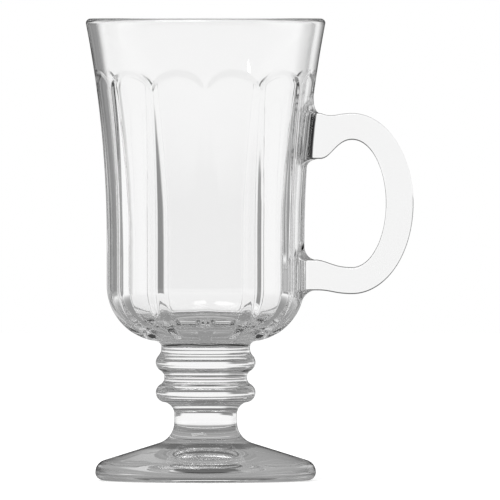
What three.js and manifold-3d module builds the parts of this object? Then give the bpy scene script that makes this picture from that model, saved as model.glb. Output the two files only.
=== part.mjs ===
// Footed glass coffee mug: a fluted bowl, a ringed stem, a conical foot and a bow handle.
// Four pieces of pressed clear glass, fused where their flat seats meet.
// Millimetres, +Z up. The origin is on the mug's axis, on the table under the foot.
// The handle points along +X, and a ridge between two panels runs up the wall behind it.

import * as THREE from "three";
import { mergeVertices } from "three/addons/utils/BufferGeometryUtils.js";
import Module from "manifold-3d";

// Foot
const FOOT_DIAMETER = 70.9;
const FOOT_EDGE_UPPER = 4; // rounding above the widest line
const FOOT_EDGE_LOWER = 2.6; // rounding below it, down to the table
const FOOT_SLOPE_DEG = 17.4;
const FOOT_RING_WIDTH = 5; // flat ring that stands on the table
const KICK_DEPTH = 3.4; // hollow under the foot
const FOOT_FILLET = 7; // sweep from the sloping top up into the neck

// Stem
const NECK_DIAMETER = 20.2;
const NECK_LENGTH = 2.6;
const NECK_TO_BEAD = 6.9; // up from the straight neck to the middle of the lower bead
const BEAD_DIAMETER = 32;
const BEAD_RADIUS = 3.1; // roundness of each bead
const BEAD_PITCH = 9.7;
const GROOVE_DIAMETER = 26.5; // waist between the two beads
const BEAD_TO_COLLAR = 4.7; // up from the upper bead to the bowl's seat
const COLLAR_DIAMETER = 28.4;

// Bowl
const BOWL_HEIGHT = 105.7;
const WAIST_DIAMETER = 63.5;
const RIM_DIAMETER = 76.9;
const COLLAR_FILLET = 2.2;
const HEEL_RADIUS = 18; // rounded bottom of the bowl
const STRAIGHT_WALL = 14.5; // upright wall between the heel and the flare
const WALL_THICKNESS = 3.1; // at the ridges of the upright wall
const LIP_THICKNESS = 3;
const FLOOR_THICKNESS = 8.3; // from the seat on the stem up to the hollow
const HOLLOW_RADIUS = 18.4; // rounding between the hollow's floor and its wall

// Panels pressed into the bowl
const PANEL_COUNT = 12;
const PANEL_DEPTH = 1.15; // below the ridges beside a panel
const PANEL_SHOULDER = 0.4; // share of a half panel that is rounded up into its ridge
const PANEL_BULGE = 0.15; // swelling at the middle of a panel
const RIDGE_TOP_BELOW_RIM = 23.5; // where the ridges fan out into arches
const ARCH_HEIGHT = 7.4;
const ARCH_RUN_OUT = 2.4; // rounding under an arch
const PANEL_TOE_DIAMETER = 36; // circle round the heel where the panels die out
const PANEL_TOE_RUN = 7;

// Handle
const HANDLE_WIDTH = 11; // across the mug's own plane of the handle
const HANDLE_THICKNESS = 8.5; // at the top and bottom of the bow
const HANDLE_BACK_THICKNESS = 8.8; // where the fingers close round it
const BOW_HEIGHT = 58;
const BOW_REACH = 19.7; // from the middle of the bow to its back
const BOW_BELOW_RIM = 59.4; // middle of the bow
const ARM_LENGTH = 9.2; // from the upper pad to the middle of the bow
const ARM_BEND = 0.5; // share of an arm's length that its curves run level with the bow
const ARM_ROOT_BEND = 0.34; // the same beside the pads
const ARM_DIP = 1.6; // pull of the thumb rest in the top of the upper arm
const SECTION_POWER = 6; // 2 is an ellipse, higher is squarer

// Pads on the bowl that the handle is fused to
const PAD_WIDTH = 12.4;
const PAD_FILLET = 2.2; // beside the finger gap
const PAD_OUTER_FILLET = 6.2; // above the upper pad and below the lower one
const PAD_ROOT = 1.2; // how far a pad reaches into the wall
const PAD_WALL_CLEARANCE = 2; // wall left free past the outer fillet of a pad, at least
const UPPER_PAD_HEIGHT = 15;
const UPPER_PAD_TOP_BELOW_RIM = 30.3;
const UPPER_PAD_STAND = 3.8; // proud of the flaring wall at the pad's top edge
const LOWER_PAD_HEIGHT = 10.6;
const LOWER_PAD_TOP_BELOW_RIM = 76.7;
const LOWER_PAD_STAND = 3; // proud of the upright wall

// Fineness of the facets
const AROUND_STEM = 48;
const STEPS_PER_PANEL = 6;
const ARC_STEPS = 2;
const WALL_ROWS = 7;
const BRIM_ROWS = 3;
const HOLLOW_ROWS = 7;
const SECTION_POINTS = 20;
const ARM_STATIONS = 6;
const BOW_STATIONS = 16;
const PAD_STATIONS = 5;
const WELD = 1e-4;

const clearGlass = new THREE.MeshStandardMaterial({
  color: 0xeef3f3,
  roughness: 0.03,
  metalness: 0,
  transparent: true,
  opacity: 0.35,
});

const wasm = await Module();
wasm.setup();

// Geometry as a solid: shared vertices merged, triangles that collapsed on the axis dropped.
function toSolid(geometry) {
  const bare = new THREE.BufferGeometry();
  bare.setAttribute("position", geometry.getAttribute("position"));
  bare.setIndex(geometry.index);
  const merged = mergeVertices(bare, WELD);
  const corners = merged.index.array;
  const kept = [];
  for (let i = 0; i < corners.length; i += 3) {
    const [a, b, c] = corners.subarray(i, i + 3);
    if (a !== b && b !== c && c !== a) kept.push(a, b, c);
  }
  const mesh = new wasm.Mesh({
    numProp: 3,
    vertProperties: merged.getAttribute("position").array,
    triVerts: new Uint32Array(kept),
  });
  return new wasm.Manifold(mesh);
}

function toGeometry(solid) {
  const mesh = solid.getMesh();
  const geometry = new THREE.BufferGeometry();
  geometry.setAttribute("position", new THREE.BufferAttribute(mesh.vertProperties, 3));
  geometry.setIndex(new THREE.BufferAttribute(mesh.triVerts, 1));
  geometry.computeVertexNormals();
  return geometry;
}

function glassPiece(name, solid) {
  const mesh = new THREE.Mesh(toGeometry(solid), clearGlass);
  mesh.name = name;
  return mesh;
}

// A profile of (radius, height) points turned about +Z.
function turned(points, around) {
  return new THREE.LatheGeometry(points, around).rotateX(Math.PI / 2);
}

// The closed skin over a run of rings with the same number of points, capped at both ends.
function lofted(rings) {
  const size = rings[0].length;
  const points = rings.flat();
  const corners = [];
  for (let i = 0; i + 1 < rings.length; i++) {
    for (let k = 0; k < size; k++) {
      const a = i * size + k;
      const b = i * size + ((k + 1) % size);
      corners.push(a, a + size, b, b, a + size, b + size);
    }
  }
  const first = points.length;
  points.push(centreOf(rings[0]), centreOf(rings[rings.length - 1]));
  const lastRing = (rings.length - 1) * size;
  for (let k = 0; k < size; k++) {
    const next = (k + 1) % size;
    corners.push(first, k, next);
    corners.push(first + 1, lastRing + next, lastRing + k);
  }
  return new THREE.BufferGeometry().setFromPoints(points).setIndex(corners);
}

function centreOf(ring) {
  const sum = new THREE.Vector3();
  ring.forEach((point) => sum.add(point));
  return sum.divideScalar(ring.length);
}

// Radius of the hollow arc that stands upright at `seat` and touches a bead `rise` away from it.
function hollowRadius(seat, rise, bead) {
  const inset = seat - bead.r;
  return (rise ** 2 + inset ** 2 - bead.radius ** 2) / (2 * (bead.radius - inset));
}

// Adds a run of circles that touch one another, beads outside and hollows inside, to a profile.
function addTouchingArcs(path, circles, startAngle, endAngle) {
  const towards = (from, to) => Math.atan2(to.z - from.z, to.r - from.r);
  circles.forEach((circle, i) => {
    const before = circles[i - 1];
    const after = circles[i + 1];
    const from = before ? towards(circle, before) : startAngle;
    const to = after ? towards(circle, after) : endAngle;
    path.absarc(circle.r, circle.z, circle.radius, from, to, circle.hollow);
  });
}

// Foot: flat ring, shallow kick under it, round edge, sloping top and a sweep into the neck.
const neckRadius = NECK_DIAMETER / 2;
const footSlope = THREE.MathUtils.degToRad(FOOT_SLOPE_DEG);
const footEdgeR = FOOT_DIAMETER / 2 - FOOT_EDGE_UPPER;
const footToeR = FOOT_DIAMETER / 2 - FOOT_EDGE_LOWER;
const slopeStart = {
  r: footEdgeR + FOOT_EDGE_UPPER * Math.sin(footSlope),
  z: FOOT_EDGE_LOWER + FOOT_EDGE_UPPER * Math.cos(footSlope),
};
const footSweepR = neckRadius + FOOT_FILLET;
const sweepLift = FOOT_FILLET - (footSweepR - slopeStart.r) * Math.sin(footSlope);
const footHeight = slopeStart.z + sweepLift / Math.cos(footSlope);

function footSolid() {
  const kickRadius = footToeR - FOOT_RING_WIDTH;
  const domeRadius = (kickRadius ** 2 + KICK_DEPTH ** 2) / (2 * KICK_DEPTH);
  const domeZ = KICK_DEPTH - domeRadius;
  const path = new THREE.Path();
  path.absarc(0, domeZ, domeRadius, Math.PI / 2, Math.atan2(-domeZ, kickRadius), true);
  path.absarc(footToeR, FOOT_EDGE_LOWER, FOOT_EDGE_LOWER, -Math.PI / 2, 0);
  path.absarc(footEdgeR, FOOT_EDGE_LOWER, FOOT_EDGE_UPPER, 0, Math.PI / 2 - footSlope);
  path.absarc(footSweepR, footHeight, FOOT_FILLET, -Math.PI / 2 - footSlope, Math.PI, true);
  path.lineTo(0, footHeight);
  return toSolid(turned(path.getPoints(ARC_STEPS), AROUND_STEM));
}

// Stem: straight neck, two round beads with a groove between them, and the collar under the bowl.
const collarRadius = COLLAR_DIAMETER / 2;
const lowerBeadZ = NECK_LENGTH + NECK_TO_BEAD;
const upperBeadZ = lowerBeadZ + BEAD_PITCH;
const stemHeight = upperBeadZ + BEAD_TO_COLLAR;

function stemSolid() {
  const beadAt = (z) => ({ r: BEAD_DIAMETER / 2 - BEAD_RADIUS, z, radius: BEAD_RADIUS });
  const lower = beadAt(lowerBeadZ);
  const upper = beadAt(upperBeadZ);
  const hollowAt = (seat, z, bead) => {
    const radius = hollowRadius(seat, z - bead.z, bead);
    return { r: seat + radius, z, radius, hollow: true };
  };
  const neck = hollowAt(neckRadius, NECK_LENGTH, lower);
  const groove = hollowAt(GROOVE_DIAMETER / 2, (lowerBeadZ + upperBeadZ) / 2, lower);
  const collar = hollowAt(collarRadius, stemHeight, upper);
  const path = new THREE.Path();
  path.moveTo(0, 0);
  path.lineTo(neckRadius, 0);
  addTouchingArcs(path, [neck, lower, groove, upper, collar], Math.PI, Math.PI);
  path.lineTo(0, stemHeight);
  return toSolid(turned(path.getPoints(ARC_STEPS), AROUND_STEM));
}

// Bowl, with heights measured up from its seat on the stem.
const waistRadius = WAIST_DIAMETER / 2;
const lipRadius = LIP_THICKNESS / 2;
const lipZ = BOWL_HEIGHT - lipRadius;
const collarSweep = { r: collarRadius + COLLAR_FILLET, z: 0, radius: COLLAR_FILLET, hollow: true };
const heelR = waistRadius - HEEL_RADIUS;
const heelZ = Math.sqrt((HEEL_RADIUS + COLLAR_FILLET) ** 2 - (collarSweep.r - heelR) ** 2);
const heel = { r: heelR, z: heelZ, radius: HEEL_RADIUS };
const flareZ = heelZ + STRAIGHT_WALL;
const outerFlare = flare(flareZ, waistRadius, lipZ, RIM_DIAMETER / 2);
const hollowWaist = waistRadius - WALL_THICKNESS;
const hollowTurnZ = FLOOR_THICKNESS + HOLLOW_RADIUS;
const innerFlare = flare(hollowTurnZ, hollowWaist, lipZ, RIM_DIAMETER / 2 - LIP_THICKNESS);
const ridgeTopZ = BOWL_HEIGHT - RIDGE_TOP_BELOW_RIM;

// Radius of a wall that leaves `fromRadius` upright and swings out on one arc to `toRadius`.
function flare(fromZ, fromRadius, toZ, toRadius) {
  const spread = toRadius - fromRadius;
  const arc = ((toZ - fromZ) ** 2 + spread ** 2) / (2 * spread);
  return (z) => fromRadius + arc - Math.sqrt(arc ** 2 - (z - fromZ) ** 2);
}

// Outer radius of the bowl through its ridges.
function ridgeRadius(z) {
  if (z < heelZ) return heelR + Math.sqrt(HEEL_RADIUS ** 2 - (heelZ - z) ** 2);
  return z < flareZ ? waistRadius : outerFlare(z);
}

// Place across a panel, -1 and 1 at its ridges, of a direction round the bowl (ridge at 0).
function acrossPanel(angle) {
  const turns = (angle / (2 * Math.PI)) * PANEL_COUNT;
  return 2 * (turns - Math.floor(turns)) - 1;
}

// How far the arch over a panel rises above the tops of the ridges.
function archRise(across) {
  return ARCH_HEIGHT * Math.sqrt(Math.max(0, 1 - across ** 2));
}

// How far a panel is pressed in: round shoulders at its sides and under its arch, a soft toe.
function panelDepth(across, z, radius) {
  const side = THREE.MathUtils.smoothstep(1 - Math.abs(across), 0, PANEL_SHOULDER);
  const top = THREE.MathUtils.smoothstep(ridgeTopZ + archRise(across) - z, 0, ARCH_RUN_OUT);
  const toe = (radius - PANEL_TOE_DIAMETER / 2) / PANEL_TOE_RUN;
  const fade = 1 - (1 - THREE.MathUtils.clamp(toe, 0, 1)) ** 2;
  return (PANEL_DEPTH * side - PANEL_BULGE * (1 - across ** 2)) * top * fade;
}

// Height of a row of points where it crosses a panel: the row at the ridge tops follows the arch.
function archedHeight(z, across) {
  if (z <= heelZ) return z;
  if (z <= ridgeTopZ) return z + (archRise(across) * (z - heelZ)) / (ridgeTopZ - heelZ);
  return z + (archRise(across) * (lipZ - z)) / (lipZ - ridgeTopZ);
}

// Heights of the wall's rows, closer together towards the arches.
function wallRows() {
  const rows = [];
  for (let i = 1; i <= WALL_ROWS; i++) {
    const share = 1 - (1 - i / WALL_ROWS) ** 2;
    rows.push(heelZ + share * (ridgeTopZ - heelZ));
  }
  for (let i = 1; i < BRIM_ROWS; i++) {
    rows.push(ridgeTopZ + (i / BRIM_ROWS) * (lipZ - ridgeTopZ));
  }
  return rows;
}

function bowlProfile() {
  const under = new THREE.Path();
  under.moveTo(0, 0);
  under.lineTo(collarRadius, 0);
  addTouchingArcs(under, [collarSweep, heel], Math.PI, 0);
  const wall = wallRows().map((z) => new THREE.Vector2(ridgeRadius(z), z));
  const lip = new THREE.Path();
  lip.absarc(RIM_DIAMETER / 2 - lipRadius, lipZ, lipRadius, 0, Math.PI);
  const hollow = new THREE.Path();
  for (let i = 1; i <= HOLLOW_ROWS; i++) {
    const z = lipZ + (i / HOLLOW_ROWS) * (hollowTurnZ - lipZ);
    hollow.lineTo(innerFlare(z), z);
  }
  const turnR = hollowWaist - HOLLOW_RADIUS;
  hollow.absarc(turnR, hollowTurnZ, HOLLOW_RADIUS, 0, -Math.PI / 2, true);
  hollow.lineTo(0, FLOOR_THICKNESS);
  const outside = [...under.getPoints(2 * ARC_STEPS), ...wall];
  const inside = [...lip.getPoints(ARC_STEPS), ...hollow.getPoints(2 * ARC_STEPS).slice(1)];
  return { points: [...outside, ...inside], outsideCount: outside.length };
}

// Direction that the outside faces at a height, as (out, up).
function facing(z) {
  if (z < heelZ) return new THREE.Vector2(ridgeRadius(z) - heelR, z - heelZ).normalize();
  const step = WELD ** 0.5;
  const lean = (ridgeRadius(z + step) - ridgeRadius(z)) / step;
  return new THREE.Vector2(1, -lean).normalize();
}

function bowlShell() {
  const { points, outsideCount } = bowlProfile();
  const around = PANEL_COUNT * STEPS_PER_PANEL;
  const geometry = new THREE.LatheGeometry(points, around);
  const position = geometry.getAttribute("position");
  for (let i = 0; i < position.count; i++) {
    const row = i % points.length;
    const ridge = points[row];
    if (row >= outsideCount || ridge.x < PANEL_TOE_DIAMETER / 2) continue;
    const angle = (Math.floor(i / points.length) / around) * 2 * Math.PI;
    const across = acrossPanel(angle);
    const z = archedHeight(ridge.y, across);
    const radius = ridgeRadius(z);
    const out = facing(z);
    const depth = panelDepth(across, z, radius);
    const r = radius - depth * out.x;
    position.setXYZ(i, r * Math.sin(angle), z - depth * out.y, r * Math.cos(angle));
  }
  return toSolid(geometry.rotateX(Math.PI / 2));
}

// Where the panelled wall lies, in +X, beside the ridge that the handle is fused to.
function wallX(y, z) {
  const tries = 4;
  let x = ridgeRadius(z);
  for (let i = 0; i < tries; i++) {
    const radius = ridgeRadius(z);
    const pressed = radius - panelDepth(acrossPanel(Math.atan2(y, x)), z, radius);
    x = Math.sqrt(pressed ** 2 - y ** 2);
  }
  return x;
}

// Pads: flat seats beside the wall, upright, where the ends of the handle are fused.
const upperPadTop = BOWL_HEIGHT - UPPER_PAD_TOP_BELOW_RIM;
const lowerPadTop = BOWL_HEIGHT - LOWER_PAD_TOP_BELOW_RIM;
const upperPad = {
  x: ridgeRadius(upperPadTop) + UPPER_PAD_STAND,
  top: upperPadTop,
  bottom: upperPadTop - UPPER_PAD_HEIGHT,
  outward: 1,
  wallLeft: lipZ - upperPadTop,
};
const lowerPad = {
  x: waistRadius + LOWER_PAD_STAND,
  top: lowerPadTop,
  bottom: lowerPadTop - LOWER_PAD_HEIGHT,
  outward: -1,
  wallLeft: lowerPadTop - LOWER_PAD_HEIGHT - (heelZ - HEEL_RADIUS),
};

// A rounded section between two points of the handle's outline, `width` across it.
function section(outer, inner, width) {
  const ring = [];
  const rounded = (value) => Math.sign(value) * Math.abs(value) ** (2 / SECTION_POWER);
  for (let k = 0; k < SECTION_POINTS; k++) {
    const angle = (k / SECTION_POINTS) * 2 * Math.PI;
    const along = (1 + rounded(Math.cos(angle))) / 2;
    const side = (rounded(Math.sin(angle)) * width) / 2;
    const point = inner.clone().lerp(outer, along);
    ring.push(new THREE.Vector3(point.x, side, point.y));
  }
  return ring;
}

// Outline of a pad's flat seat.
function padSeat(pad) {
  const top = new THREE.Vector2(pad.x, pad.top);
  const bottom = new THREE.Vector2(pad.x, pad.bottom);
  return section(top, bottom, PAD_WIDTH);
}

// A pad: from its seat, down a hollow fillet on to the wall, with its root inside the wall.
function padSolid(pad) {
  const rings = [];
  for (let i = 0; i <= PAD_STATIONS; i++) {
    const turn = (i / (PAD_STATIONS + 1)) * (Math.PI / 2);
    rings.push(padRing(pad, 1 - Math.cos(turn), (height) => height * (1 - Math.sin(turn))));
  }
  rings.push(padRing(pad, 1, () => -PAD_ROOT));
  return toSolid(lofted(rings.reverse()));
}

// The seat's outline moved out by a share of the fillet, at a height above the wall. The outer
// fillet is limited by the wall that is left beside the pad.
function padRing(pad, share, heightOf) {
  const seat = padSeat(pad);
  const middle = centreOf(seat);
  const outerFillet = Math.min(PAD_OUTER_FILLET, pad.wallLeft - PAD_WALL_CLEARANCE);
  return seat.map((point) => {
    const away = point.clone().sub(middle);
    const outward = (1 + (pad.outward * away.z) / away.length()) / 2;
    const fillet = THREE.MathUtils.lerp(PAD_FILLET, outerFillet, outward);
    const moved = away.setLength(away.length() + share * fillet).add(middle);
    const height = point.x - wallX(point.y, point.z);
    return new THREE.Vector3(wallX(moved.y, moved.z) + heightOf(height), moved.y, moved.z);
  });
}

function bowlSolid() {
  return bowlShell().add(padSolid(upperPad)).add(padSolid(lowerPad));
}

// Handle: two arms from the pads and a half-oval bow, between an outer and an inner outline.
function handleOutline(upperZ, lowerZ, bowHeight, bowReach, dip) {
  const bowX = upperPad.x + ARM_LENGTH;
  const bowZ = BOWL_HEIGHT - BOW_BELOW_RIM;
  const top = bowZ + bowHeight / 2;
  const bottom = bowZ - bowHeight / 2;
  const nearBow = (pad) => THREE.MathUtils.lerp(bowX, pad.x, ARM_BEND);
  const nearPad = (pad) => THREE.MathUtils.lerp(pad.x, bowX, ARM_ROOT_BEND);
  const path = new THREE.Path();
  path.moveTo(upperPad.x, upperZ);
  path.bezierCurveTo(nearPad(upperPad), upperZ - dip, nearBow(upperPad), top, bowX, top);
  path.absellipse(bowX, bowZ, bowReach, bowHeight / 2, Math.PI / 2, -Math.PI / 2, true);
  path.bezierCurveTo(nearBow(lowerPad), bottom, nearPad(lowerPad), lowerZ, lowerPad.x, lowerZ);
  return path.curves;
}

function handleSolid() {
  const outer = handleOutline(upperPad.top, lowerPad.bottom, BOW_HEIGHT, BOW_REACH, ARM_DIP);
  const inner = handleOutline(
    upperPad.bottom,
    lowerPad.top,
    BOW_HEIGHT - 2 * HANDLE_THICKNESS,
    BOW_REACH - HANDLE_BACK_THICKNESS,
    0,
  );
  const stations = [ARM_STATIONS, BOW_STATIONS, ARM_STATIONS];
  const widths = [
    (t) => THREE.MathUtils.lerp(PAD_WIDTH, HANDLE_WIDTH, THREE.MathUtils.smoothstep(t, 0, 1)),
    () => HANDLE_WIDTH,
    (t) => THREE.MathUtils.lerp(HANDLE_WIDTH, PAD_WIDTH, THREE.MathUtils.smoothstep(t, 0, 1)),
  ];
  const rings = [padSeat(upperPad)];
  stations.forEach((count, k) => {
    for (let i = 1; i <= count; i++) {
      const t = i / count;
      rings.push(section(outer[k].getPoint(t), inner[k].getPoint(t), widths[k](t)));
    }
  });
  return toSolid(lofted(rings));
}

// Assembly: the stem stands on the foot, the bowl on the stem, and the handle on the bowl's pads.
const bowlGroup = new THREE.Group();
bowlGroup.position.z = stemHeight;
bowlGroup.add(glassPiece("bowl", bowlSolid()), glassPiece("handle", handleSolid()));

const stemGroup = new THREE.Group();
stemGroup.position.z = footHeight;
stemGroup.add(glassPiece("stem", stemSolid()), bowlGroup);

const mug = new THREE.Group();
mug.add(glassPiece("foot", footSolid()), stemGroup);

export default mug;
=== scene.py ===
import math

import bmesh
import bpy
from mathutils import Matrix, Vector
from mathutils.bvhtree import BVHTree


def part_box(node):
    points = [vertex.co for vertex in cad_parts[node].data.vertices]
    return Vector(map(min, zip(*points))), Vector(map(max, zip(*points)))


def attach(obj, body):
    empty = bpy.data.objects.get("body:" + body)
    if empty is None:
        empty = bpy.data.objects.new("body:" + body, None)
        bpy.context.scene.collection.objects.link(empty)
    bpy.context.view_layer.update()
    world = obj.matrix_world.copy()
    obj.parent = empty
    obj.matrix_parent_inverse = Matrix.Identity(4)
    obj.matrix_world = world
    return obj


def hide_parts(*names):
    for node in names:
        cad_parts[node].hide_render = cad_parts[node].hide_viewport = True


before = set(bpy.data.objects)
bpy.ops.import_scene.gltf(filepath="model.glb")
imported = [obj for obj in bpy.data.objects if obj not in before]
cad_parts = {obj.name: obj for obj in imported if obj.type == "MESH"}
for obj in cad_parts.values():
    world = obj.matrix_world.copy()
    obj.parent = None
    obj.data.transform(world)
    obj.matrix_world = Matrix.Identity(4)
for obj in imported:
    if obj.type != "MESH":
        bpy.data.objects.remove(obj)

scene = bpy.context.scene
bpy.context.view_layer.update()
mm = 0.001  # profiles are drawn in millimetres
hair = 0.01  # millimetres, slack for finding flat ends
touch = 0.001  # millimetres, points this near are on the same surface
weldGap = 1e-7  # metres, points this near become one
weldIndex = 1  # each piece's second material, for its fused faces

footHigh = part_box("foot")[1]
bowlLow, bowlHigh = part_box("bowl")
footTop = footHigh.z / mm
bowlSeat = bowlLow.z / mm
rimTop = bowlHigh.z / mm
print("frame loaded, rim at", round(rimTop, 2), "mm")


# small helpers for turned glass
def arcRun(centre, radius, startDeg, endDeg, stepDeg=3.0):
    count = max(2, math.ceil(abs(endDeg - startDeg) / stepDeg))
    turns = [math.radians(startDeg + (endDeg - startDeg) * i / count) for i in range(count + 1)]
    return [(centre[0] + radius * math.cos(t), centre[1] + radius * math.sin(t)) for t in turns]


def angleTo(a, b):
    return math.degrees(math.atan2(b[1] - a[1], b[0] - a[0]))


def lerp(a, b, share):
    return a + (b - a) * share


def clamp01(value):
    return min(1.0, max(0.0, value))


def ease01(value):
    share = clamp01(value)
    return share * share * (3 - 2 * share)


# straight slope from 0 to 1 with rounded ends
def bevel01(value, rounding=0.2):
    share = clamp01(value)
    if share > 0.5:
        return 1 - bevel01(1 - share, rounding)
    steep = 1 / (1 - rounding)
    return steep * (share * share / (2 * rounding) if share < rounding else share - rounding / 2)


# spin leaves no fixed order, so faces and edges are put in the order of their points
def sortByPoints(bm):
    bm.verts.index_update()
    count = len(bm.verts)

    def edgeRank(edge):
        low, high = sorted(vert.index for vert in edge.verts)
        return low * count + high

    bm.edges.sort(key=edgeRank)
    bm.faces.sort(key=lambda face: min(vert.index for vert in face.verts))


# a chain of profile points swung round the mug's axis: one sector, then copies of it
def turnOnAxis(profile, steps, sectors=12):
    bm = bmesh.new()
    chain = [bm.verts.new((r * mm, 0.0, z * mm)) for r, z in profile]
    for a, b in zip(chain, chain[1:]):
        bm.edges.new((a, b))
    bmesh.ops.spin(
        bm, geom=bm.verts[:] + bm.edges[:], cent=(0, 0, 0), axis=(0, 0, 1), dvec=(0, 0, 0),
        angle=math.tau / sectors, steps=steps // sectors, use_merge=False, use_duplicate=False,
    )
    sortByPoints(bm)
    first = bm.verts[:] + bm.edges[:] + bm.faces[:]
    for i in range(1, sectors):
        copy = bmesh.ops.duplicate(bm, geom=first)["geom"]
        turn = Matrix.Rotation(math.tau * i / sectors, 3, "Z")
        moved = [part for part in copy if isinstance(part, bmesh.types.BMVert)]
        bmesh.ops.rotate(bm, cent=(0, 0, 0), matrix=turn, verts=moved)
    bmesh.ops.remove_doubles(bm, verts=bm.verts[:], dist=weldGap)
    bmesh.ops.recalc_face_normals(bm, faces=bm.faces[:])
    return bm


# flat faces where two pieces are fused get the weld finish, with a hard edge round them
def markWeld(bm, isWeld):
    for face in bm.faces:
        if isWeld(face):
            face.material_index = weldIndex
            for edge in face.edges:
                if not all(isWeld(other) for other in edge.link_faces):
                    edge.smooth = False


def makePiece(bm, name, node):
    bmesh.ops.recalc_face_normals(bm, faces=bm.faces[:])
    mesh = bpy.data.meshes.new(name)
    for face in bm.faces:
        face.smooth = True
    bm.to_mesh(mesh)
    bm.free()
    mesh.materials.append(clearGlass)
    mesh.materials.append(weldGlass)
    piece = bpy.data.objects.new(name, mesh)
    scene.collection.objects.link(piece)
    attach(piece, "root")
    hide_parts(node)
    print(name, len(mesh.polygons), "faces")


# short calls for shader nodes
class NodeKit:
    def __init__(self, tree):
        self.nodes = tree.nodes
        self.links = tree.links
        self.nodes.clear()

    def put(self, socket, value):
        if isinstance(value, bpy.types.NodeSocket):
            self.links.new(value, socket)
        else:
            socket.default_value = value

    def math(self, operation, *values):
        node = self.nodes.new("ShaderNodeMath")
        node.operation = operation
        for socket, value in zip(node.inputs, values):
            self.put(socket, value)
        return node.outputs[0]

    def ease(self, value, fromLow, fromHigh, toLow, toHigh):
        node = self.nodes.new("ShaderNodeMapRange")
        node.interpolation_type = "SMOOTHSTEP"
        names = ("Value", "From Min", "From Max", "To Min", "To Max")
        for name, number in zip(names, (value, fromLow, fromHigh, toLow, toHigh)):
            self.put(node.inputs[name], number)
        return node.outputs[0]

    def mix(self, a, b, share):
        return self.math("MULTIPLY_ADD", self.math("SUBTRACT", b, a), share, a)

    def parts(self, socket):
        node = self.nodes.new("ShaderNodeSeparateXYZ")
        self.links.new(socket, node.inputs[0])
        return node.outputs

    def new(self, kind):
        return self.nodes.new(kind)


# clear pressed glass, with painted shade in its colour beside the root of the upper arm
glassLook = {
    "tint": 0.98,
    "ior": 1.5,
    "rippleSize": 90.0,
    "rippleDetail": 1.0,
    "rippleDepth": 0.00003,
    "wearSize": 60.0,
    "wearRange": (0.3, 0.7),
    "polish": (0.0, 0.02),
    # painted shade: the glass colour falls to this level beside the upper arm's root
    "root": {
        "x": 33.1, "lean": 0.09, "half": (0.5, 1.1), "side": (5.4, 6.0),
        "rise": (101.5, 119.0), "fade": 2.5, "shadeLevel": 0.03},
}


def makeGlass():
    material = bpy.data.materials.new("clearGlass")
    material.use_nodes = True
    kit = NodeKit(material.node_tree)
    out = kit.new("ShaderNodeOutputMaterial")
    shader = kit.new("ShaderNodeBsdfPrincipled")
    shader.inputs["Transmission Weight"].default_value = 1.0
    shader.inputs["IOR"].default_value = glassLook["ior"]
    place = kit.new("ShaderNodeTexCoord")
    wear = kit.new("ShaderNodeTexNoise")
    wear.inputs["Scale"].default_value = glassLook["wearSize"]
    kit.links.new(place.outputs["Object"], wear.inputs["Vector"])
    polish = kit.ease(wear.outputs["Fac"], *glassLook["wearRange"], *glassLook["polish"])
    kit.put(shader.inputs["Roughness"], polish)
    ripple = kit.new("ShaderNodeTexNoise")
    ripple.inputs["Scale"].default_value = glassLook["rippleSize"]
    ripple.inputs["Detail"].default_value = glassLook["rippleDetail"]
    bump = kit.new("ShaderNodeBump")
    bump.inputs["Strength"].default_value = 1.0
    bump.inputs["Distance"].default_value = glassLook["rippleDepth"]
    kit.links.new(place.outputs["Object"], ripple.inputs["Vector"])
    kit.links.new(ripple.outputs["Fac"], bump.inputs["Height"])
    kit.links.new(bump.outputs["Normal"], shader.inputs["Normal"])
    # the base colour carries the painted shade beside the upper arm's root
    kit.put(shader.inputs["Base Color"], rootShade(kit, *kit.parts(place.outputs["Object"])))
    kit.links.new(shader.outputs[0], out.inputs["Surface"])
    return material


# the glass is clear but for painted shade in its colour at the hollows beside the root of the upper
# arm, which gather no light
def rootShade(kit, x, y, z):
    root = glassLook["root"]
    low, high = root["rise"]
    line = kit.math("MULTIPLY_ADD", z, root["lean"], (root["x"] - low * root["lean"]) * mm)
    off = kit.math("ABSOLUTE", kit.math("SUBTRACT", x, line))
    band = kit.ease(off, root["half"][0] * mm, root["half"][1] * mm, 1.0, 0.0)
    side = kit.ease(kit.math("ABSOLUTE", y), root["side"][0] * mm, root["side"][1] * mm, 0.0, 1.0)
    under = kit.ease(z, (high - root["fade"]) * mm, high * mm, 1.0, 0.0)
    over = kit.ease(z, low * mm, (low + root["fade"]) * mm, 0.0, 1.0)
    share = kit.math("MULTIPLY", kit.math("MULTIPLY", band, side), kit.math("MULTIPLY", under, over))
    return kit.mix(glassLook["tint"], root["shadeLevel"], share)


# faces inside a fused seam let all light pass
def makeWeld():
    material = bpy.data.materials.new("fusedSeam")
    material.use_nodes = True
    shader = material.node_tree.nodes["Principled BSDF"]
    shader.inputs["Alpha"].default_value = 0.0
    return material


clearGlass = makeGlass()
weldGlass = makeWeld()

# foot: kick, standing ring, round edge, slope and a sweep up to the neck
footShape = {
    "upperEdge": 4.0,
    "lowerEdge": 2.6,
    "slope": 17.4,
    "ring": 5.0,
    "kick": 3.4,
    "sweep": 7.0,
    "neck": 10.1,
    "kickStep": 1.0,
    "slopeRows": 8,
    "steps": 240,
}


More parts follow.
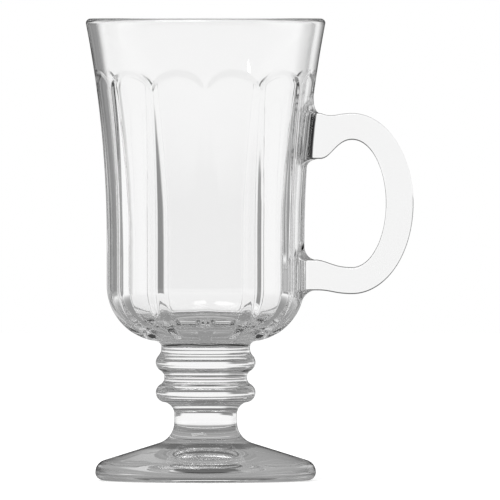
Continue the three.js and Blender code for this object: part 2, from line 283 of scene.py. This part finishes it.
def makeFoot():
    s = footShape
    radius = footHigh.y / mm
    toe = radius - s["lowerEdge"]
    kickRadius = toe - s["ring"]
    dome = (kickRadius ** 2 + s["kick"] ** 2) / (2 * s["kick"])
    domeZ = s["kick"] - dome
    edge = (radius - s["upperEdge"], s["lowerEdge"])
    profile = arcRun((0, domeZ), dome, 90, angleTo((0, domeZ), (kickRadius, 0)), s["kickStep"])
    profile += arcRun((toe, s["lowerEdge"]), s["lowerEdge"], -90, 0)
    profile += arcRun(edge, s["upperEdge"], 0, 90 - s["slope"])[1:]
    slopeTop = arcRun((s["neck"] + s["sweep"], footTop), s["sweep"], 270 - s["slope"], 180)
    (lowR, lowZ), (highR, highZ) = profile[-1], slopeTop[0]
    for i in range(1, s["slopeRows"]):
        share = i / s["slopeRows"]
        profile.append((lerp(lowR, highR, share), lerp(lowZ, highZ, share)))
    profile += slopeTop
    profile.append((0, footTop))
    bm = turnOnAxis(profile, s["steps"])
    markWeld(bm, lambda face: face.calc_center_median().z > (footTop - hair) * mm)
    makePiece(bm, "glassFoot", "foot")


# stem: neck, two beads, groove and collar, all arcs that touch
stemShape = {
    "neck": 10.1,
    "neckLength": 2.6,
    "neckToBead": 6.9,
    "bead": 16.0,
    "beadRound": 3.1,
    "pitch": 9.7,
    "groove": 13.25,
    "collar": 14.2,
    "steps": 240,
}


def makeStem():
    s = stemShape
    low = footTop + s["neckLength"] + s["neckToBead"]
    high = low + s["pitch"]
    beadR = s["bead"] - s["beadRound"]

    def hollow(seat, z, beadZ):
        inset = seat - beadR
        gap = (z - beadZ) ** 2 + inset ** 2 - s["beadRound"] ** 2
        radius = gap / (2 * (s["beadRound"] - inset))
        return (seat + radius, z, radius)

    circles = [
        hollow(s["neck"], footTop + s["neckLength"], low),
        (beadR, low, s["beadRound"]),
        hollow(s["groove"], (low + high) / 2, low),
        (beadR, high, s["beadRound"]),
        hollow(s["collar"], bowlSeat, high),
    ]
    profile = [(0, footTop), (s["neck"], footTop)]
    for i, (r, z, radius) in enumerate(circles):
        start = angleTo((r, z), circles[i - 1]) if i else 180.0
        end = angleTo((r, z), circles[i + 1]) if i + 1 < len(circles) else 180.0
        if i % 2 == 0:  # hollows turn the short way through 180
            start, end = start % 360, end % 360
        profile += arcRun((r, z), radius, start, end)[1 if i else 0:]
    profile.append((0, bowlSeat))
    bm = turnOnAxis(profile, s["steps"])
    ends = ((footTop + hair) * mm, (bowlSeat - hair) * mm)
    markWeld(bm, lambda face: not ends[0] < face.calc_center_median().z < ends[1])
    makePiece(bm, "glassStem", "stem")


# bowl: heel, flared wall, lip and hollow, with panels pressed into the outside
bowlShape = {
    "collar": 14.2,
    "collarSweep": 2.2,
    "waist": 31.75,
    "heel": 18.0,
    "upright": 14.5,
    "lip": 3.0,
    "wall": 2.95,
    "floor": 8.0,
    "corner": 11.0,
    "flareFrom": 28.0,
    "panels": 12,
    "stepsPerPanel": 32,
    "gather": 0.8,
    "panelDepth": 1.25,
    "shoulder": 0.5,
    "bulge": 0.05,
    "runOut": 2.4,
    "deepening": (0.37, 45.0),
    "ridgeTop": 23.5,
    "arch": 7.4,
    "toe": 16.6,
    "toeRun": 5.0,
    "wallRows": 46,
    "wallCrowding": 1.7,
    "brimRows": 18,
    "brimCrowding": 1.5,
    "hollowRows": 46,
    "sweepStep": 6.0,
    "lipStep": 12.0,
}


# radius of a wall that rises upright at fromZ and swings out on one arc
def flareOf(fromZ, fromR, toZ, toR):
    spread = toR - fromR
    arc = ((toZ - fromZ) ** 2 + spread ** 2) / (2 * spread)
    return lambda z: fromR + arc - math.sqrt(arc ** 2 - (z - fromZ) ** 2)


rimRadius = bowlHigh.y / mm
lipRound = bowlShape["lip"] / 2
lipZ = rimTop - lipRound
heelR = bowlShape["waist"] - bowlShape["heel"]
collarAt = (bowlShape["collar"] + bowlShape["collarSweep"], bowlSeat)
heelZ = bowlSeat + math.sqrt(
    (bowlShape["heel"] + bowlShape["collarSweep"]) ** 2 - (collarAt[0] - heelR) ** 2)
flareZ = heelZ + bowlShape["upright"]
outerFlare = flareOf(flareZ, bowlShape["waist"], lipZ, rimRadius)
hollowWaist = bowlShape["waist"] - bowlShape["wall"]
cornerZ = bowlSeat + bowlShape["floor"] + bowlShape["corner"]
hollowFlareZ = bowlSeat + bowlShape["flareFrom"]
hollowFlare = flareOf(hollowFlareZ, hollowWaist, lipZ, rimRadius - bowlShape["lip"])
ridgeTopZ = rimTop - bowlShape["ridgeTop"]


def ridgeRadius(z):
    if z < heelZ:
        return heelR + math.sqrt(max(0.0, bowlShape["heel"] ** 2 - (heelZ - z) ** 2))
    return bowlShape["waist"] if z < flareZ else outerFlare(z)


# direction that the outside faces, as (out, up)
def wallFacing(z):
    if z < heelZ:
        facing = Vector((ridgeRadius(z) - heelR, z - heelZ))
    else:
        facing = Vector((hair, ridgeRadius(z) - ridgeRadius(z + hair)))
    return facing.normalized()


# how far the arch over a panel rises above the ridge tops
def archRise(across):
    return bowlShape["arch"] * math.sqrt(max(0.0, 1 - across ** 2))


# how far a panel is pressed in: shallow under its arch, deeper further down, fading at its toe
def pressDepth(across, z, radius):
    s = bowlShape
    archZ = ridgeTopZ + archRise(across)
    shallow, run = s["deepening"]
    deep = lerp(shallow, 1, clamp01((ridgeTopZ + s["arch"] - z) / run))
    side = bevel01((1 - abs(across)) / (s["shoulder"] * deep))
    top = ease01((archZ - z) / s["runOut"])
    fade = 1 - (1 - clamp01((radius - s["toe"]) / s["toeRun"])) ** 2
    return (s["panelDepth"] * deep * side - s["bulge"] * (1 - across ** 2)) * top * fade


# height of a row where it crosses a panel, so that the row at the ridge tops follows the arch
def archedHeight(z, across):
    arch = archRise(across)
    if z <= heelZ:
        return z
    if z <= ridgeTopZ:
        return z + arch * (z - heelZ) / (ridgeTopZ - heelZ)
    return z + arch * (lipZ - z) / (lipZ - ridgeTopZ)


# radius of the hollow above its rounded corner
def hollowRadius(z):
    return hollowFlare(max(z, hollowFlareZ))


def bowlProfile():
    s = bowlShape
    heelAt = (heelR, heelZ)
    sweepEnd = angleTo(collarAt, heelAt)
    profile = [(0, bowlSeat), (s["collar"], bowlSeat)]
    profile += arcRun(collarAt, s["collarSweep"], 180, sweepEnd, s["sweepStep"])[1:]
    profile += arcRun(heelAt, s["heel"], angleTo(heelAt, collarAt), 0)[1:]
    for i in range(1, s["wallRows"] + 1):
        share = 1 - (1 - i / s["wallRows"]) ** s["wallCrowding"]
        z = lerp(heelZ, ridgeTopZ, share)
        profile.append((ridgeRadius(z), z))
    for i in range(1, s["brimRows"]):
        z = lerp(ridgeTopZ, lipZ, (i / s["brimRows"]) ** s["brimCrowding"])
        profile.append((ridgeRadius(z), z))
    profile += arcRun((rimRadius - lipRound, lipZ), lipRound, 0, 180, s["lipStep"])
    for i in range(1, s["hollowRows"] + 1):
        z = lerp(lipZ, cornerZ, i / s["hollowRows"])
        profile.append((hollowRadius(z), z))
    profile += arcRun((hollowWaist - s["corner"], cornerZ), s["corner"], 0, -90)[1:]
    profile.append((0, bowlSeat + s["floor"]))
    return profile


# place of a column: its angle round the bowl, and where that is across its panel
def columnPlace(turn):
    s = bowlShape
    count = s["stepsPerPanel"]
    panel, step = divmod(round(turn / math.tau * s["panels"] * count), count)
    across = 2 * step / count - 1
    # columns gather towards the ridges
    across = lerp(across, 1.5 * across - 0.5 * across ** 3, s["gather"])
    return (panel + (across + 1) / 2) * math.tau / s["panels"], across


def pressPanels(bm):
    for vert in bm.verts:
        x, y, z = vert.co / mm
        r = math.hypot(x, y)
        if r < touch:
            continue
        angle, across = columnPlace(math.atan2(y, x) % math.tau)
        if r > bowlShape["toe"] and z < lipZ - hair and abs(r - ridgeRadius(z)) < touch:
            z = archedHeight(z, across)
            radius = ridgeRadius(z)
            facing = wallFacing(z)
            depth = pressDepth(across, z, radius)
            r = radius - depth * facing.x
            z -= depth * facing.y
        vert.co = Vector((r * math.cos(angle), r * math.sin(angle), z)) * mm


# pads that the handle is fused to, each a seat with a hollow fillet on to the wall
padShape = {
    "width": 12.4,
    "edge": 0.7,
    "fillet": 2.8,
    "cornerPower": 4,
    "seatStep": 0.2,
    "rings": 14,
    "quarter": 12,
    "margin": 0.55,  # the wall is cut away this far past the last ring
    "skin": 0.4,  # faces less than this outside the hollow stay
    "within": (20.0, 14.0),
    "castFrom": 80.0,
    "upper": {"top": 30.4, "height": 14.6, "stand": 3.0, "over": 6.4, "below": 2.6},
    "lower": {"top": 77.5, "height": 9.7, "stand": 4.2, "over": 4.2, "below": 3.6},
}


def seatOf(pad):
    top = rimTop - pad["top"]
    bottom = top - pad["height"]
    return {"x": ridgeRadius(top) + pad["stand"], "top": top, "bottom": bottom, "pad": pad}


upperSeat = seatOf(padShape["upper"])
lowerSeat = seatOf(padShape["lower"])


# oblong section with rounded edges, from an outer to an inner point of the outline
def roundedSection(outer, inner, width):
    edge, count = padShape["edge"], padShape["quarter"]
    middle = (Vector(outer) + Vector(inner)) / 2
    along = Vector(outer) - middle
    ends = (along.length - edge, width / 2 - edge)
    along.normalize()
    corners = []
    for k, signs in enumerate(((1, 1), (-1, 1), (-1, -1), (1, -1))):
        centre = (signs[0] * ends[0], signs[1] * ends[1])
        corners.append(arcRun(centre, edge, 90 * k, 90 * k + 90, 90 / count))
    flat = []
    for a, b in zip(corners, corners[1:] + corners[:1]):
        flat += a
        for i in range(1, count):
            share = i / count
            flat.append((lerp(a[-1][0], b[0][0], share), lerp(a[-1][1], b[0][1], share)))
    ring = []
    for reach, side in flat:
        at = middle + along * reach
        ring.append(Vector((at[0], side, at[1])))
    return ring


def seatRing(seat):
    return roundedSection((seat["x"], seat["top"]), (seat["x"], seat["bottom"]), padShape["width"])


# a closed ring of edges through the points
def placeRing(bm, points):
    made = bmesh.ops.create_circle(bm, cap_ends=False, segments=len(points), radius=1.0)
    for vert, point in zip(made["verts"], points):
        vert.co = point * mm
    return list(dict.fromkeys(edge for vert in made["verts"] for edge in vert.link_edges))


def insideLoop(y, z, loop):
    inside = False
    for a, b in zip(loop, loop[1:] + loop[:1]):
        if (a.z > z) != (b.z > z) and y < a.y + (b.y - a.y) * (z - a.z) / (b.z - a.z):
            inside = not inside
    return inside


# cuts the wall open under a pad and closes it over the pad's rings
def raisePad(bm, seat, tree):
    s = padShape

    def wallX(y, z):
        return tree.ray_cast(Vector((s["castFrom"], y, z)) * mm, Vector((-1, 0, 0)))[0].x / mm

    start = seatRing(seat)
    middle = Vector((seat["x"], 0, (seat["top"] + seat["bottom"]) / 2))

    def padRing(turn):
        ring = []
        for point in start:
            away = point - middle
            lean = away.z / away.length
            end = seat["pad"]["over" if lean > 0 else "below"]
            upright = lean ** s["cornerPower"]
            fillet = lerp(s["fillet"], end, upright)
            moved = middle + away * (1 + (1 - math.cos(turn)) * fillet / away.length)
            full = point.x - wallX(point.y, point.z) - s["seatStep"]
            height = lerp(min(s["fillet"], full), full, upright) * (1 - math.sin(turn))
            moved.x = wallX(moved.y, moved.z) + height
            ring.append(moved)
        return ring

    rings = [start]
    rings += [padRing(math.pi / 2 * i / s["rings"]) for i in range(s["rings"] + 1)]
    loop = [middle + (p - middle) * (1 + s["margin"] / (p - middle).length) for p in rings[-1]]
    under = []
    for face in bm.faces:
        c = face.calc_center_median() / mm
        near = c.x > s["within"][0] and abs(c.y) < s["within"][1]
        outside = math.hypot(c.x, c.y) > hollowRadius(c.z) + s["skin"]
        if near and outside and insideLoop(c.y, c.z, loop):
            under.append(face)
    bmesh.ops.delete(bm, geom=under, context="FACES")
    hole = [edge for edge in bm.edges if edge.is_boundary]
    loops = [placeRing(bm, ring) for ring in rings]
    bmesh.ops.bridge_loops(bm, edges=hole + loops[-1])
    for a, b in zip(loops, loops[1:]):
        bmesh.ops.bridge_loops(bm, edges=a + b)
    return bmesh.ops.contextual_create(bm, geom=loops[0])["faces"]


def makeBowl():
    bm = turnOnAxis(bowlProfile(), bowlShape["panels"] * bowlShape["stepsPerPanel"])
    pressPanels(bm)
    bm.normal_update()
    tree = BVHTree.FromBMesh(bm)
    caps = raisePad(bm, upperSeat, tree) + raisePad(bm, lowerSeat, tree)
    seatZ = (bowlSeat + hair) * mm
    markWeld(bm, lambda face: face in caps or face.calc_center_median().z < seatZ)
    makePiece(bm, "glassBowl", "bowl")


# handle: upper arm with a thumb rest, half-oval bow and lower arm
handleShape = {
    "width": 11.0,
    "thickness": 8.5,
    "backThickness": 8.8,
    "bowHeight": 58.0,
    "bowReach": 19.7,
    "bowBelowRim": 59.4,
    "armLength": 10.0,
    "armBend": 0.5,
    "rootBend": (0.38, 0.34),
    "dip": (1.6, 0.0),
    "spread": (-0.3, 0.6),
    "armStations": 26,
    "bowStations": 84,
}


def bezierAt(a, b, c, d, t):
    weights = ((1 - t) ** 3, 3 * t * (1 - t) ** 2, 3 * t * t * (1 - t), t ** 3)
    return tuple(sum(w * p[k] for w, p in zip(weights, (a, b, c, d))) for k in (0, 1))


# one outline of the handle, outer or inner, from the upper pad round to the lower one
def handleOutline(upperZ, lowerZ, height, reach, drops, rootBend):
    s = handleShape
    bowX = upperSeat["x"] + s["armLength"]
    bowZ = rimTop - s["bowBelowRim"]
    top, bottom = bowZ + height / 2, bowZ - height / 2
    upperX, lowerX = upperSeat["x"], lowerSeat["x"]
    upperArm = (
        (upperX, upperZ), (lerp(upperX, bowX, rootBend), upperZ - drops[0]),
        (lerp(bowX, upperX, s["armBend"]), top), (bowX, top))
    lowerArm = (
        (bowX, bottom), (lerp(bowX, lowerX, s["armBend"]), bottom),
        (lerp(lowerX, bowX, rootBend), lowerZ - drops[1]), (lowerX, lowerZ))
    run = [bezierAt(*upperArm, i / s["armStations"]) for i in range(s["armStations"])]
    for i in range(s["bowStations"]):
        turn = math.pi * (0.5 - i / s["bowStations"])
        run.append((bowX + reach * math.cos(turn), bowZ + height / 2 * math.sin(turn)))
    run += [bezierAt(*lowerArm, i / s["armStations"]) for i in range(s["armStations"] + 1)]
    return run


def makeHandle():
    s = handleShape
    outer = handleOutline(
        upperSeat["top"], lowerSeat["bottom"],
        s["bowHeight"], s["bowReach"], s["dip"], s["rootBend"][0])
    innerHeight = s["bowHeight"] - 2 * s["thickness"]
    innerReach = s["bowReach"] - s["backThickness"]
    inner = handleOutline(
        upperSeat["bottom"], lowerSeat["top"],
        innerHeight, innerReach, s["spread"], s["rootBend"][1])
    bm = bmesh.new()
    loops = []
    last = len(outer) - 1
    for i, (a, b) in enumerate(zip(outer, inner)):
        away = ease01(min(i, last - i) / s["armStations"])
        width = lerp(padShape["width"], s["width"], away)
        loops.append(placeRing(bm, roundedSection(a, b, width)))
    for a, b in zip(loops, loops[1:]):
        bmesh.ops.bridge_loops(bm, edges=a + b)
    caps = []
    for loop in (loops[0], loops[-1]):
        caps += bmesh.ops.contextual_create(bm, geom=loop)["faces"]
    markWeld(bm, lambda face: face in caps)
    makePiece(bm, "glassHandle", "handle")


makeFoot()
makeStem()
makeBowl()
makeHandle()

# studio: white panels ahead, behind and at both sides, dim gaps between them and overhead
studioLook = {
    "turn": 10.0,
    "panel": (25.0, 36.0),
    "gap": 0.28,
    "overhead": (10.0, 17.0),
    "ceiling": 0.14,
    "fill": 0.5,
    "lensSide": (0.2, 0.75, 0.03),
    "echo": (8.0, 34.0, 0.04),
    # painted even light level for paths that crossed many surfaces
    "evenDeep": (5.5, 0.52, 0.65),
    "onceMirrored": 0.5,
}

# floor: a pale disc that glows at chosen levels for light that came by the glass, painted shadow
# among them
floorLook = {
    "radius": 2.5,
    "segments": 96,
    "drop": 0.0002,
    "colour": (0.8, 0.8, 0.8, 1.0),
    "glow": 0.62,
    # painted shadow under the mug and a painted shadow ring at the foot's edge, in the floor's glow
    "under": 0.4,
    "near": (0.05, 0.12),
    "kick": (0.024, 0.03),
    "ring": (0.045, 0.06),
    "ringShadow": 0.05,
    "deep": 2.5,
    "glance": (0.1, 0.5),
    "glanceLevel": 0.3,
    "far": (2.0, 2.45),
    "farMirrored": (0.5, 0.9),
}


# 1 for light that was mirrored on its way, else 0
def wasMirrored(kit, path):
    return kit.math("GREATER_THAN", path.outputs["Glossy Depth"], studioLook["onceMirrored"])


# 1 for light that the glass mirrors or lets through, else 0
def cameByGlass(kit, path):
    return kit.math("MAXIMUM", path.outputs["Is Glossy Ray"], path.outputs["Is Transmission Ray"])


# light that crossed many surfaces comes out as a more even grey, a painted light level in the world
# and the floor's glow
def evenDeepLevel(kit, level, path):
    limit, even, share = studioLook["evenDeep"]
    crossed = kit.math("GREATER_THAN", path.outputs["Ray Depth"], limit)
    return kit.mix(level, even, kit.math("MULTIPLY", crossed, share))


# brightness of the studio walls towards (x, y): white panels, dim gaps, dim on the camera's side,
# and the panel ahead hardly shows in light that was mirrored on its way through the glass
def wallLevel(kit, x, y, path):
    heading = kit.math("ARCTAN2", x, y)
    turned = kit.math("ADD", heading, math.radians(-studioLook["turn"]))
    low, high = [math.radians(v) for v in studioLook["panel"]]
    panels = kit.ease(kit.math("PINGPONG", turned, math.pi / 4), low, high, 1.0, studioLook["gap"])
    start, end, dim = studioLook["lensSide"]
    lensSide = kit.ease(kit.math("COSINE", heading), -end, -start, dim, 1.0)
    level = kit.math("MULTIPLY", panels, lensSide)
    low, high, faint = studioLook["echo"]
    ahead = kit.math("ABSOLUTE", heading)
    echo = kit.ease(ahead, math.radians(low), math.radians(high), faint, 1.0)
    return kit.math("MULTIPLY", level, kit.mix(1.0, echo, wasMirrored(kit, path)))


# level of the floor's glow at (x, y) for light that came by the glass: painted shadow under the mug,
# with a painted shadow ring at the foot's edge for light that crossed several surfaces, dimmer near
# the mug in mirrored light, and passing into the walls far out
def floorLevel(kit, x, y, path):
    s = floorLook
    reach = kit.math("SQRT", kit.math("ADD", kit.math("MULTIPLY", x, x), kit.math("MULTIPLY", y, y)))
    deep = kit.math("GREATER_THAN", path.outputs["Transmission Depth"], s["deep"])
    # painted shadow ring at the foot's edge
    kick = kit.ease(reach, *s["kick"], 1.0, s["ringShadow"])
    ring = kit.math("MAXIMUM", kick, kit.ease(reach, *s["ring"], s["ringShadow"], 1.0))
    # painted shadow under the mug
    near = kit.ease(reach, *s["near"], s["under"], 1.0)
    mirrored = wasMirrored(kit, path)
    glance = kit.ease(reach, *s["glance"], s["glanceLevel"], 1.0)
    table = kit.mix(kit.mix(near, ring, deep), glance, mirrored)
    farDirect = kit.ease(reach, *s["far"], 0.0, 1.0)
    farMirrored = kit.ease(reach, *s["farMirrored"], 0.0, 1.0)
    far = kit.mix(farDirect, farMirrored, mirrored)
    return evenDeepLevel(kit, kit.mix(table, wallLevel(kit, x, y, path), far), path)


def makeFloor():
    s = floorLook
    bm = bmesh.new()
    bmesh.ops.create_circle(bm, cap_ends=True, segments=s["segments"], radius=s["radius"])
    bmesh.ops.translate(bm, verts=bm.verts[:], vec=(0, 0, -s["drop"]))
    mesh = bpy.data.meshes.new("studioFloor")
    bm.to_mesh(mesh)
    bm.free()
    material = bpy.data.materials.new("paleFloor")
    material.use_nodes = True
    kit = NodeKit(material.node_tree)
    out = kit.new("ShaderNodeOutputMaterial")
    base = kit.new("ShaderNodeBsdfDiffuse")
    base.inputs["Color"].default_value = s["colour"]
    glow = kit.new("ShaderNodeEmission")
    both = kit.new("ShaderNodeAddShader")
    path = kit.new("ShaderNodeLightPath")
    place = kit.new("ShaderNodeTexCoord")
    x, y, _ = kit.parts(place.outputs["Object"])
    # for light that came by the glass, the floor is a glow at painted light and shadow levels
    # instead of being lit
    shown = kit.new("ShaderNodeEmission")
    kit.put(shown.inputs["Strength"], floorLevel(kit, x, y, path))
    seen = kit.math("MULTIPLY", path.outputs["Is Camera Ray"], s["glow"])
    kit.put(glow.inputs["Strength"], seen)
    mix = kit.new("ShaderNodeMixShader")
    kit.put(mix.inputs["Fac"], cameByGlass(kit, path))
    kit.links.new(base.outputs[0], both.inputs[0])
    kit.links.new(glow.outputs[0], both.inputs[1])
    kit.links.new(both.outputs[0], mix.inputs[1])
    kit.links.new(shown.outputs[0], mix.inputs[2])
    kit.links.new(mix.outputs[0], out.inputs["Surface"])
    mesh.materials.append(material)
    floor = bpy.data.objects.new("studioFloor", mesh)
    scene.collection.objects.link(floor)
    print("floor laid")


def makeStudio():
    world = bpy.data.worlds.new("softStudio")
    scene.world = world
    world.use_nodes = True
    kit = NodeKit(world.node_tree)
    out = kit.new("ShaderNodeOutputWorld")
    background = kit.new("ShaderNodeBackground")
    background.inputs["Color"].default_value = (1.0, 1.0, 1.0, 1.0)
    place = kit.new("ShaderNodeTexCoord")
    path = kit.new("ShaderNodeLightPath")
    x, y, z = kit.parts(place.outputs["Generated"])
    lift = kit.math("ARCSINE", z)
    low, high = [math.radians(v) for v in studioLook["overhead"]]
    below = kit.ease(lift, low, high, 1.0, 0.0)
    studio = kit.mix(studioLook["ceiling"], wallLevel(kit, x, y, path), below)
    seen = kit.math("MULTIPLY", evenDeepLevel(kit, studio, path), cameByGlass(kit, path))
    filled = kit.math("MULTIPLY_ADD", path.outputs["Is Diffuse Ray"], studioLook["fill"], seen)
    level = kit.math("ADD", filled, path.outputs["Is Camera Ray"])
    kit.put(background.inputs["Strength"], level)
    kit.links.new(background.outputs[0], out.inputs["Surface"])
    print("studio lit")


# lamps: a softbox overhead, and a very small one for the glint on the brim
lampLook = {
    "topSoftbox": {
        "place": (-0.3, -0.4, 1.3), "aim": (0, 0, 0.05), "size": (0.9, 0.9), "power": 9.0},
    "glintLamp": {
        "place": (0.0974, -0.1118, 0.0990), "aim": (0.0140, -0.0334, 0.1337),
        "size": (0.0075, 0.0010), "power": 0.00055},
}


# lamps light the floor and show in mirrored light, but aren't seen through the glass
def addLamp(name, place, aim, size, power):
    data = bpy.data.lights.new(name, "AREA")
    data.shape = "RECTANGLE"
    data.size, data.size_y = size
    data.energy = power
    lamp = bpy.data.objects.new(name, data)
    lamp.location = place
    lamp.rotation_euler = (Vector(aim) - Vector(place)).to_track_quat("-Z", "Y").to_euler()
    lamp.visible_camera = False
    lamp.visible_transmission = False
    scene.collection.objects.link(lamp)
    print("lamp placed:", name)


makeFloor()
makeStudio()
for name, look in lampLook.items():
    addLamp(name, **look)

# camera: the photograph's view, nearly level, from far away
view = {
    "lens": 1480.0,
    "sensor": 36.0,
    "clip": (0.1, 100.0),
    "elevation": 0.85,
    "pixel": 0.3211,
    "axisPixel": (205.62, 480.2),
    "frame": 500,
}


def makeCamera():
    data = bpy.data.cameras.new("photoCamera")
    data.lens = view["lens"]
    data.sensor_width = view["sensor"]
    data.clip_start, data.clip_end = view["clip"]
    camera = bpy.data.objects.new("photoCamera", data)
    half = view["frame"] / 2
    across, down = view["axisPixel"]
    aim = Vector((half - across, 0, down - half)) * view["pixel"] * mm
    distance = view["frame"] * view["pixel"] * mm * data.lens / data.sensor_width
    tilt = math.radians(view["elevation"])
    back = Vector((0, -math.cos(tilt), math.sin(tilt)))
    camera.location = aim + back * distance
    camera.rotation_euler = (-back).to_track_quat("-Z", "Y").to_euler()
    scene.collection.objects.link(camera)
    scene.camera = camera
    print("camera", round(distance, 2), "m away")


makeCamera()
scene.view_settings.view_transform = "Standard"

# enough bounces for light to cross all of the glass
glassBounces = 32
mirrorBounces = 16
scene.cycles.max_bounces = glassBounces
scene.cycles.transmission_bounces = glassBounces
scene.cycles.transparent_max_bounces = glassBounces
scene.cycles.glossy_bounces = mirrorBounces
